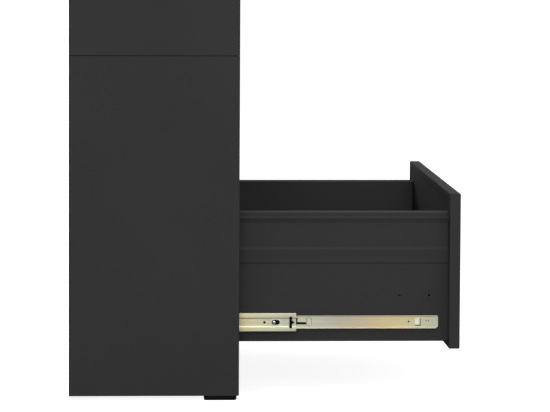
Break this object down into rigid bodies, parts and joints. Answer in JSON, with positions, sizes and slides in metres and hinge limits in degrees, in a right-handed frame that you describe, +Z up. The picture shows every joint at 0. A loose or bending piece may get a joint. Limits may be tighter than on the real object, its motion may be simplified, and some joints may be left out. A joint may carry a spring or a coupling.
{
  "type": "filing cabinet",
  "caption": "Lateral filing cabinet of folded sheet steel: full-extension drawers on telescopic slides, recessed handles and a cylinder lock, lowest drawer pulled out.",
  "frame": {"origin": "on the floor, in the middle of the cabinet's footprint, without the pulled-out drawer", "axes": "+X to the right as the fronts are faced, -Y out of the fronts, +Z up"},
  "size_m": [0.9, 0.8928, 1.34],
  "materials": {
    "powder_coated_steel": "matte anthracite powder coat",
    "zinc_plated_steel": "yellow-passivated zinc plate",
    "black_plastic": "moulded",
    "plated_lock": "satin nickel plate"
  },
  "bodies": {
    "cabinet": {"side_lower_left": "powder_coated_steel", "side_lower_right": "powder_coated_steel", "side_upper_left": "powder_coated_steel", "side_upper_right": "powder_coated_steel", "back_lower": "powder_coated_steel", "back_upper": "powder_coated_steel", "top_panel": "powder_coated_steel", "plinth": "powder_coated_steel", "floor_panel": "powder_coated_steel", "ballast": "powder_coated_steel", "feet": "black_plastic", "uprights": "powder_coated_steel", "cross_rails": "powder_coated_steel", "outer_rails": "zinc_plated_steel", "lock_body": "plated_lock"},
    "drawer_1": {"drawer_1_front": "powder_coated_steel", "drawer_1_liner": "powder_coated_steel", "drawer_1_handle": "black_plastic", "drawer_1_tray": "powder_coated_steel", "drawer_1_side_extensions": "powder_coated_steel", "drawer_1_inner_rails": "zinc_plated_steel", "drawer_1_release_levers": "black_plastic"},
    "middle_rails_1": {"drawer_1_middle_rails": "zinc_plated_steel"},
    "outer_cages_1": {"drawer_1_outer_cages": "zinc_plated_steel"},
    "inner_cages_1": {"drawer_1_inner_cages": "zinc_plated_steel"},
    "drawer_2": {"drawer_2_front": "powder_coated_steel", "drawer_2_liner": "powder_coated_steel", "drawer_2_handle": "black_plastic", "drawer_2_tray": "powder_coated_steel", "drawer_2_side_extensions": "powder_coated_steel", "drawer_2_inner_rails": "zinc_plated_steel", "drawer_2_release_levers": "black_plastic"},
    "middle_rails_2": {"drawer_2_middle_rails": "zinc_plated_steel"},
    "outer_cages_2": {"drawer_2_outer_cages": "zinc_plated_steel"},
    "inner_cages_2": {"drawer_2_inner_cages": "zinc_plated_steel"},
    "drawer_3": {"drawer_3_front": "powder_coated_steel", "drawer_3_liner": "powder_coated_steel", "drawer_3_handle": "black_plastic", "drawer_3_tray": "powder_coated_steel", "drawer_3_side_extensions": "powder_coated_steel", "drawer_3_inner_rails": "zinc_plated_steel", "drawer_3_release_levers": "black_plastic"},
    "middle_rails_3": {"drawer_3_middle_rails": "zinc_plated_steel"},
    "outer_cages_3": {"drawer_3_outer_cages": "zinc_plated_steel"},
    "inner_cages_3": {"drawer_3_inner_cages": "zinc_plated_steel"},
    "drawer_4": {"drawer_4_front": "powder_coated_steel", "drawer_4_liner": "powder_coated_steel", "drawer_4_handle": "black_plastic", "drawer_4_tray": "powder_coated_steel", "drawer_4_side_extensions": "powder_coated_steel", "drawer_4_inner_rails": "zinc_plated_steel", "drawer_4_release_levers": "black_plastic"},
    "middle_rails_4": {"drawer_4_middle_rails": "zinc_plated_steel"},
    "outer_cages_4": {"drawer_4_outer_cages": "zinc_plated_steel"},
    "inner_cages_4": {"drawer_4_inner_cages": "zinc_plated_steel"},
    "lock_core": {"lock_core": "plated_lock"},
    "lock_bar": {"lock_bar": "zinc_plated_steel"}
  },
  "joints": [
    {"name": "drawer_1_slide", "type": "slide", "parent": "cabinet", "child": "drawer_1", "axis": [0, -1, 0], "range_m": [-0.431, 0]},
    {"name": "middle_rails_1_slide", "type": "slide", "parent": "cabinet", "child": "middle_rails_1", "axis": [0, -1, 0], "range_m": [-0.1532, 0]},
    {"name": "outer_cages_1_slide", "type": "slide", "parent": "cabinet", "child": "outer_cages_1", "axis": [0, -1, 0], "range_m": [-0.0767, 0]},
    {"name": "inner_cages_1_slide", "type": "slide", "parent": "cabinet", "child": "inner_cages_1", "axis": [0, -1, 0], "range_m": [-0.2922, 0]},
    {"name": "drawer_2_slide", "type": "slide", "parent": "cabinet", "child": "drawer_2", "axis": [0, -1, 0], "range_m": [0, 0.431]},
    {"name": "middle_rails_2_slide", "type": "slide", "parent": "cabinet", "child": "middle_rails_2", "axis": [0, -1, 0], "range_m": [0, 0.1532]},
    {"name": "outer_cages_2_slide", "type": "slide", "parent": "cabinet", "child": "outer_cages_2", "axis": [0, -1, 0], "range_m": [0, 0.0767]},
    {"name": "inner_cages_2_slide", "type": "slide", "parent": "cabinet", "child": "inner_cages_2", "axis": [0, -1, 0], "range_m": [0, 0.2922]},
    {"name": "drawer_3_slide", "type": "slide", "parent": "cabinet", "child": "drawer_3", "axis": [0, -1, 0], "range_m": [0, 0.431]},
    {"name": "middle_rails_3_slide", "type": "slide", "parent": "cabinet", "child": "middle_rails_3", "axis": [0, -1, 0], "range_m": [0, 0.1532]},
    {"name": "outer_cages_3_slide", "type": "slide", "parent": "cabinet", "child": "outer_cages_3", "axis": [0, -1, 0], "range_m": [0, 0.0767]},
    {"name": "inner_cages_3_slide", "type": "slide", "parent": "cabinet", "child": "inner_cages_3", "axis": [0, -1, 0], "range_m": [0, 0.2922]},
    {"name": "drawer_4_slide", "type": "slide", "parent": "cabinet", "child": "drawer_4", "axis": [0, -1, 0], "range_m": [0, 0.431]},
    {"name": "middle_rails_4_slide", "type": "slide", "parent": "cabinet", "child": "middle_rails_4", "axis": [0, -1, 0], "range_m": [0, 0.1532]},
    {"name": "outer_cages_4_slide", "type": "slide", "parent": "cabinet", "child": "outer_cages_4", "axis": [0, -1, 0], "range_m": [0, 0.0767]},
    {"name": "inner_cages_4_slide", "type": "slide", "parent": "cabinet", "child": "inner_cages_4", "axis": [0, -1, 0], "range_m": [0, 0.2922]},
    {"name": "lock_turn", "type": "hinge", "parent": "cabinet", "child": "lock_core", "pos_m": [0.412, -0.23, 1.326], "axis": [0, 1, 0], "range_deg": [0, 90.5]},
    {"name": "lock_bar_slide", "type": "slide", "parent": "cabinet", "child": "lock_bar", "axis": [0, 0, -1], "range_m": [0, 0.014]}
  ],
  "couplings": [
    {"joint": "middle_rails_1_slide", "follows": "drawer_1_slide", "ratio": 0.35499},
    {"joint": "outer_cages_1_slide", "follows": "drawer_1_slide", "ratio": 0.17749},
    {"joint": "inner_cages_1_slide", "follows": "drawer_1_slide", "ratio": 0.67749},
    {"joint": "middle_rails_2_slide", "follows": "drawer_2_slide", "ratio": 0.35499},
    {"joint": "outer_cages_2_slide", "follows": "drawer_2_slide", "ratio": 0.17749},
    {"joint": "inner_cages_2_slide", "follows": "drawer_2_slide", "ratio": 0.67749},
    {"joint": "middle_rails_3_slide", "follows": "drawer_3_slide", "ratio": 0.35499},
    {"joint": "outer_cages_3_slide", "follows": "drawer_3_slide", "ratio": 0.17749},
    {"joint": "inner_cages_3_slide", "follows": "drawer_3_slide", "ratio": 0.67749},
    {"joint": "middle_rails_4_slide", "follows": "drawer_4_slide", "ratio": 0.35499},
    {"joint": "outer_cages_4_slide", "follows": "drawer_4_slide", "ratio": 0.17749},
    {"joint": "inner_cages_4_slide", "follows": "drawer_4_slide", "ratio": 0.67749},
    {"joint": "lock_turn", "follows": "lock_bar_slide", "rad_per_m": 112.2}
  ]
}
